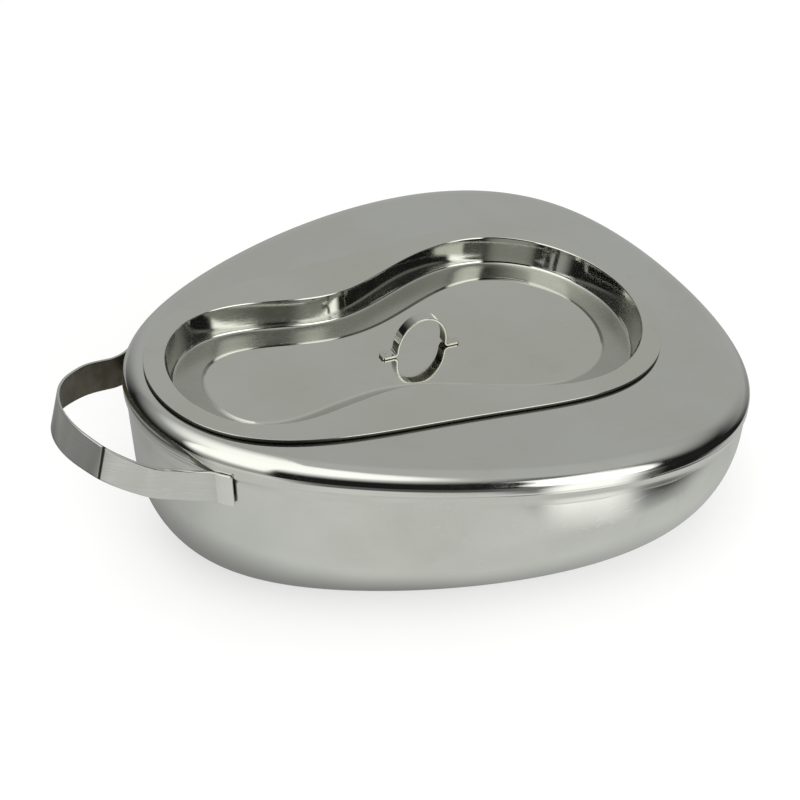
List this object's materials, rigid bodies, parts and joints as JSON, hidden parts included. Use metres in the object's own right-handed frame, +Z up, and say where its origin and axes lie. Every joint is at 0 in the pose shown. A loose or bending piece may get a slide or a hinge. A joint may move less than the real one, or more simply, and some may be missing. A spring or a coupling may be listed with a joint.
{
  "type": "bedpan",
  "caption": "Wedge-shaped steel bedpan with a sloping seat, a dished drop-in lid with a finger loop, and a strap carrying handle at the narrow end.",
  "frame": {"origin": "centre of the bounding box at its bottom, on the surface the pan stands on", "axes": "+X along the pan towards its wide, low end (the strap handle is at -X), +Y to the side, +Z up"},
  "size_m": [0.3844, 0.2856, 0.1222],
  "materials": {
    "polished_pan": "mirror-polished stainless steel sheet",
    "polished_seat": "mirror-polished stainless steel sheet",
    "polished_lid": "mirror-polished stainless steel sheet",
    "weld_bead": "ground and polished weld",
    "spot_weld": "pressed spot weld with a faint heat tint",
    "strap_steel": "lightly brushed stainless steel strip",
    "loop_steel": "bright stainless steel strip"
  },
  "bodies": {
    "pan": {"lower_pan": "polished_pan", "seat_shell": "polished_seat", "rim_seam_weld": "weld_bead", "handle_strap": "strap_steel", "handle_spot_weld_left_top": "spot_weld", "handle_spot_weld_left_bottom": "spot_weld", "handle_spot_weld_right_top": "spot_weld", "handle_spot_weld_right_bottom": "spot_weld"},
    "lid": {"lid_panel": "polished_lid", "lid_loop": "loop_steel", "loop_spot_weld_wide_left": "spot_weld", "loop_spot_weld_wide_right": "spot_weld", "loop_spot_weld_narrow_left": "spot_weld", "loop_spot_weld_narrow_right": "spot_weld"}
  },
  "joints": [
    {"name": "lid_lift", "type": "slide", "parent": "pan", "child": "lid", "axis": [0.0949, 0, 0.9955], "range_m": [0, 0.2]}
  ]
}
